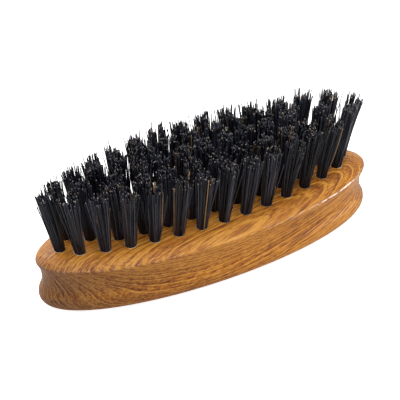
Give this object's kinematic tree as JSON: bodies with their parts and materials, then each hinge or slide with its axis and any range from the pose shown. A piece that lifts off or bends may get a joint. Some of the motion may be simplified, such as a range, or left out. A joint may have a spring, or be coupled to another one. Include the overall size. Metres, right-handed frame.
{
  "type": "beard brush",
  "caption": "Oval one-piece wooden hand brush with a grip groove round its side and concentric rings of bristle tufts in drilled holes.",
  "frame": {"origin": "middle of the flat back, the face the brush rests on with its bristles up", "axes": "+X along the length of the oval, +Y across it, +Z out of the bristle face"},
  "size_m": [0.111, 0.039, 0.0382],
  "materials": {
    "handle_wood": "satin",
    "bristle": "satin",
    "anchor_wire": "satin"
  },
  "bodies": {
    "root": {"handle": "handle_wood", "tuft_outer_01": "bristle", "tuft_outer_02": "bristle", "tuft_outer_03": "bristle", "tuft_outer_04": "bristle", "tuft_outer_05": "bristle", "tuft_outer_06": "bristle", "tuft_outer_07": "bristle", "tuft_outer_08": "bristle", "tuft_outer_09": "bristle", "tuft_outer_10": "bristle", "tuft_outer_11": "bristle", "tuft_outer_12": "bristle", "tuft_outer_13": "bristle", "tuft_outer_14": "bristle", "tuft_outer_15": "bristle", "tuft_outer_16": "bristle", "tuft_outer_17": "bristle", "tuft_outer_18": "bristle", "tuft_outer_19": "bristle", "tuft_outer_20": "bristle", "tuft_outer_21": "bristle", "tuft_outer_22": "bristle", "tuft_outer_23": "bristle", "tuft_outer_24": "bristle", "tuft_outer_25": "bristle", "tuft_outer_26": "bristle", "tuft_outer_27": "bristle", "tuft_outer_28": "bristle", "tuft_middle_01": "bristle", "tuft_middle_02": "bristle", "tuft_middle_03": "bristle", "tuft_middle_04": "bristle", "tuft_middle_05": "bristle", "tuft_middle_06": "bristle", "tuft_middle_07": "bristle", "tuft_middle_08": "bristle", "tuft_middle_09": "bristle", "tuft_middle_10": "bristle", "tuft_middle_11": "bristle", "tuft_middle_12": "bristle", "tuft_middle_13": "bristle", "tuft_middle_14": "bristle", "tuft_middle_15": "bristle", "tuft_middle_16": "bristle", "tuft_middle_17": "bristle", "tuft_middle_18": "bristle", "tuft_middle_19": "bristle", "tuft_middle_20": "bristle", "tuft_centre_01": "bristle", "tuft_centre_02": "bristle", "tuft_centre_03": "bristle", "tuft_centre_04": "bristle", "tuft_centre_05": "bristle", "tuft_centre_06": "bristle", "tuft_centre_07": "bristle", "tuft_centre_08": "bristle", "tuft_centre_09": "bristle"}
  },
  "joints": []
}
